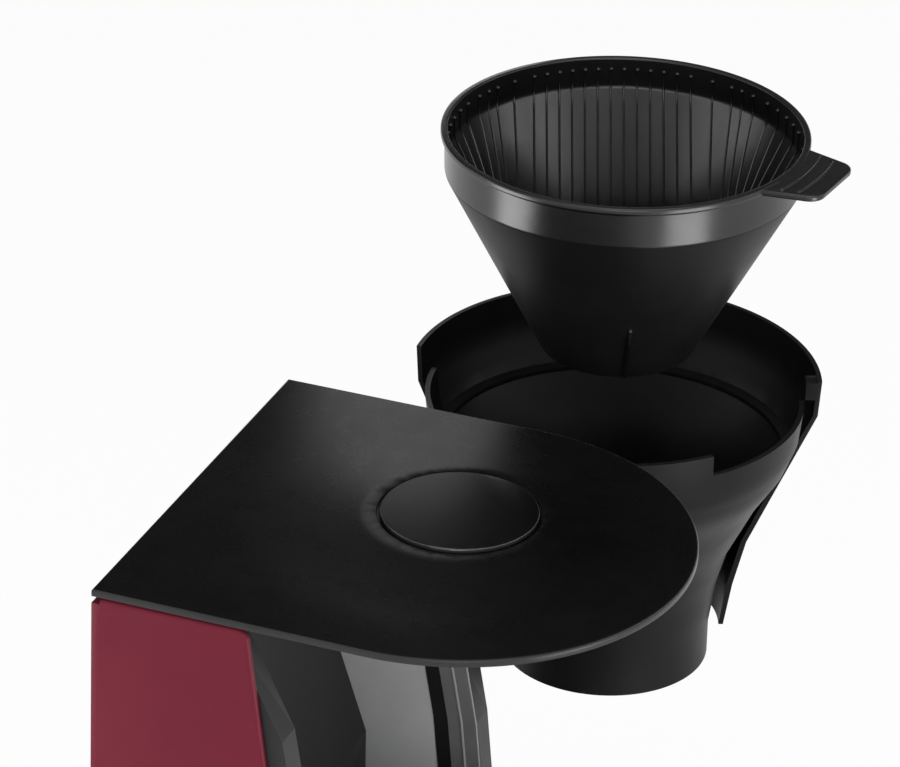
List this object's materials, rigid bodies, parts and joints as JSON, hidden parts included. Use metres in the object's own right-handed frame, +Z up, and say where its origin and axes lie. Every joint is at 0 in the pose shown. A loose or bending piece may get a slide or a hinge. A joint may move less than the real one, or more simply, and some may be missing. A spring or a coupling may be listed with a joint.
{
  "type": "drip coffee maker",
  "caption": "Drip coffee maker with a swing-out funnel carrier, a filter basket lifted out of it, a hinged lid, a coloured tower cover, a warming plate and a glass jug.",
  "frame": {"origin": "on the worktop, midway between the flat end of the base and its round end, on the centre line", "axes": "+X from the tower's flat end to the round end, +Y to the side the carrier swings out to, +Z up"},
  "size_m": [0.227, 0.3605, 0.433],
  "materials": {
    "black_plastic": "fine satin, black",
    "dark_plastic": "semi-gloss, black",
    "lid_plastic": "satin, dark grey",
    "red_plastic": "smooth, dark red",
    "coated_plate": "non-stick coating",
    "steel": "drawn",
    "rubber": "matte",
    "tank_plastic": "milky",
    "glass": "clear"
  },
  "bodies": {
    "machine": {"base_housing": "black_plastic", "base_plate": "black_plastic", "foot_1": "rubber", "foot_2": "rubber", "foot_3": "rubber", "foot_4": "rubber", "foot_5": "rubber", "base_screw_1": "steel", "base_screw_2": "steel", "base_screw_3": "steel", "base_screw_4": "steel", "tower_housing": "dark_plastic", "side_cover": "red_plastic", "water_tank": "tank_plastic", "tank_valve": "tank_plastic", "feed_hose": "rubber", "water_tube": "steel", "heating_element": "steel", "riser_tube": "tank_plastic", "spout_arm": "dark_plastic", "hot_plate": "coated_plate", "plate_seal": "rubber", "heater_clamp": "steel", "thermostat": "steel", "thermal_fuse": "steel", "lid_pin": "steel", "carrier_pin": "steel", "switch_frame": "black_plastic", "cord_gland": "rubber"},
    "lid": {"lid": "lid_plastic", "lid_disc": "lid_plastic"},
    "carrier": {"carrier_funnel": "dark_plastic", "carrier_shell": "dark_plastic", "drip_spring": "steel"},
    "drip_stop": {"drip_stop": "dark_plastic"},
    "basket": {"filter_basket": "dark_plastic"},
    "jug": {"jug_glass": "glass", "jug_floor": "glass", "jug_band": "black_plastic", "jug_handle": "black_plastic"},
    "jug_lid": {"jug_lid": "black_plastic"},
    "rocker": {"switch_rocker": "red_plastic"}
  },
  "joints": [
    {"name": "carrier_swing", "type": "hinge", "parent": "machine", "child": "carrier", "pos_m": [-0.0668, 0.08805, 0.27], "axis": [0, 0, 1], "range_deg": [-96, 0]},
    {"name": "basket_lift", "type": "slide", "parent": "carrier", "child": "basket", "axis": [0, 0, 1], "range_m": [-0.1188, 0.03]},
    {"name": "lid_hinge", "type": "hinge", "parent": "machine", "child": "lid", "pos_m": [-0.1017, 0, 0.3242], "axis": [0, -1, 0], "range_deg": [0, 95]},
    {"name": "switch_press", "type": "hinge", "parent": "machine", "child": "rocker", "pos_m": [-0.03, -0.0945, 0.028], "axis": [0, 0, 1], "range_deg": [0, 12]},
    {"name": "drip_stop_lift", "type": "slide", "parent": "carrier", "child": "drip_stop", "axis": [0, 0, 1], "range_m": [0, 0.005], "stiffness_N_per_m": 200, "springref_m": -0.002, "deforming": ["drip_spring"]},
    {"name": "jug_slide", "type": "slide", "parent": "machine", "child": "jug", "axis": [1, 0, 0], "range_m": [0, 0.16]},
    {"name": "jug_lid_turn", "type": "hinge", "parent": "jug", "child": "jug_lid", "pos_m": [0.008, 0, 0.18], "axis": [0, 0, 1], "range_deg": [0, 60]}
  ]
}
